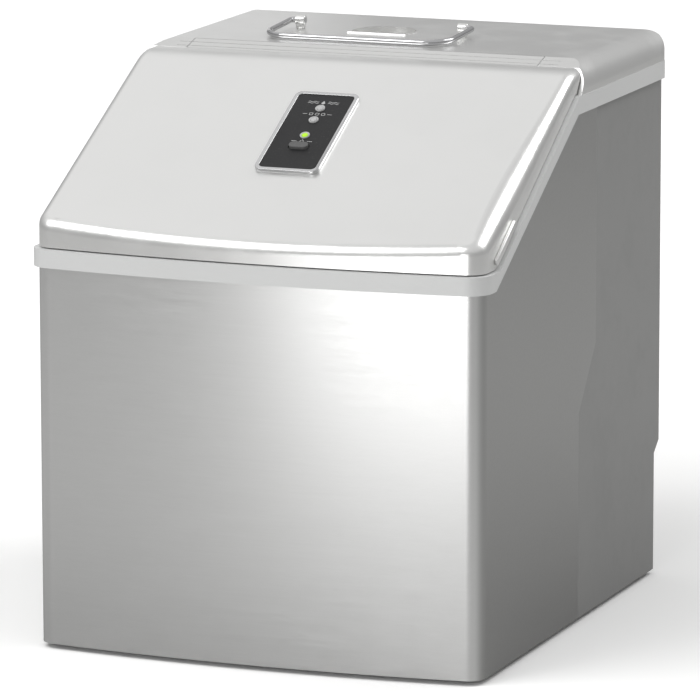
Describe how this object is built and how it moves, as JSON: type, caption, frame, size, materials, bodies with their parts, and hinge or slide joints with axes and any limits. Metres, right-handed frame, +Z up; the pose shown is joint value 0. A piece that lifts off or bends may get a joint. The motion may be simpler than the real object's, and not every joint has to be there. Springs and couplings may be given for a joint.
{
  "type": "ice maker",
  "caption": "Countertop ice maker with a sloped lid over the ice compartment, a rear top cover with a folding carry handle and a slim control panel on the lid.",
  "frame": {"origin": "middle of the underside of the bounding box, between the four feet", "axes": "+Z up, front faces -Y, +X to the right seen from the front"},
  "size_m": [0.36, 0.428, 0.4405],
  "materials": {
    "steel_front": "brushed",
    "steel_rear": "satin",
    "trim_grey": "satin",
    "silver_plastic": "satin metallic paint",
    "white_plastic": "smooth",
    "foam": "cellular",
    "seal_rubber": "matte",
    "black_rubber": "matte",
    "bright_chrome": "polished",
    "black_fascia": "satin",
    "lamp_grey": "satin",
    "lamp_green": "smooth",
    "button_grey": "fine texture",
    "green_board": "solder mask",
    "black_plastic": "moulded",
    "zinc_steel": "zinc plated",
    "copper": "drawn tube",
    "nickel": "nickel plated",
    "fin_aluminium": "mill",
    "can_black": "gloss",
    "clear_hose": "silicone"
  },
  "bodies": {
    "cabinet": {"back_grille": "black_plastic", "base_pan": "black_plastic", "bulkhead": "zinc_steel", "cabinet_insulation": "foam", "compressor": "can_black", "compressor_plate": "zinc_steel", "condenser_fins": "fin_aluminium", "condenser_tube": "copper", "control_board": "green_board", "control_box": "black_plastic", "discharge_pipe": "copper", "drain_spout": "white_plastic", "evaporator_cover": "white_plastic", "evaporator_tube": "nickel", "fan_motor": "zinc_steel", "fan_shroud": "black_plastic", "filter_drier": "copper", "float_stem": "white_plastic", "front_shell": "steel_front", "handle_brackets": "bright_chrome", "hinge_pins": "zinc_steel", "hot_gas_pipe": "copper", "hot_gas_valve": "copper", "ice_chute": "white_plastic", "ice_fingers": "nickel", "ice_sensors": "white_plastic", "inner_tub": "white_plastic", "power_inlet": "black_plastic", "rear_shell": "steel_rear", "rubber_feet": "black_rubber", "rubber_grommets": "black_rubber", "shell_screws": "zinc_steel", "suction_pipe": "copper", "terminal_cover": "black_plastic", "top_cover": "silver_plastic", "tray_brackets": "white_plastic", "tray_motor": "zinc_steel", "trim_frame": "trim_grey", "water_hose": "clear_hose", "water_pump": "black_plastic"},
    "lid": {"lid_shell": "silver_plastic", "lid_insulation": "foam", "lid_liner": "white_plastic", "lid_seal": "seal_rubber", "lid_pulls": "silver_plastic", "panel_bezel": "bright_chrome", "panel_fascia": "black_fascia", "lamp_bezels": "lamp_grey", "lamp_lenses": "lamp_green", "panel_board": "green_board", "button_switch": "black_plastic"},
    "button": {"power_button": "button_grey"},
    "handle": {"carry_handle": "bright_chrome"},
    "tray": {"water_tray": "white_plastic"},
    "fan": {"fan": "black_plastic"},
    "float": {"level_float": "white_plastic"},
    "drain_plug": {"drain_cap": "white_plastic"},
    "basket": {"ice_basket": "white_plastic", "basket_grid": "white_plastic"}
  },
  "joints": [
    {"name": "lid_hinge", "type": "hinge", "parent": "cabinet", "child": "lid", "pos_m": [0, 0.031, 0.424], "axis": [-1, 0, 0], "range_deg": [0, 118]},
    {"name": "button_press", "type": "slide", "parent": "lid", "child": "button", "axis": [0, 0.4493, -0.8934], "range_m": [0, 0.0015], "stiffness_N_per_m": 400, "springref_m": -0.001},
    {"name": "handle_swing", "type": "hinge", "parent": "cabinet", "child": "handle", "pos_m": [-0.0225, 0.12, 0.4365], "axis": [-1, 0, 0], "range_deg": [0, 180]},
    {"name": "tray_tilt", "type": "hinge", "parent": "cabinet", "child": "tray", "pos_m": [0, -0.018, 0.3], "axis": [1, 0, 0], "range_deg": [0, 90]},
    {"name": "fan_spin", "type": "hinge", "parent": "cabinet", "child": "fan", "pos_m": [0.076, 0.16, 0.235], "axis": [0, 1, 0], "continuous": true},
    {"name": "float_rise", "type": "slide", "parent": "cabinet", "child": "float", "axis": [0, 0, 1], "range_m": [0, 0.016]},
    {"name": "drain_cap_pull", "type": "slide", "parent": "cabinet", "child": "drain_plug", "axis": [-1, 0, 0], "range_m": [0, 0.022]},
    {"name": "basket_lift", "type": "slide", "parent": "cabinet", "child": "basket", "axis": [0, 0, 1], "range_m": [0, 0.09]}
  ]
}
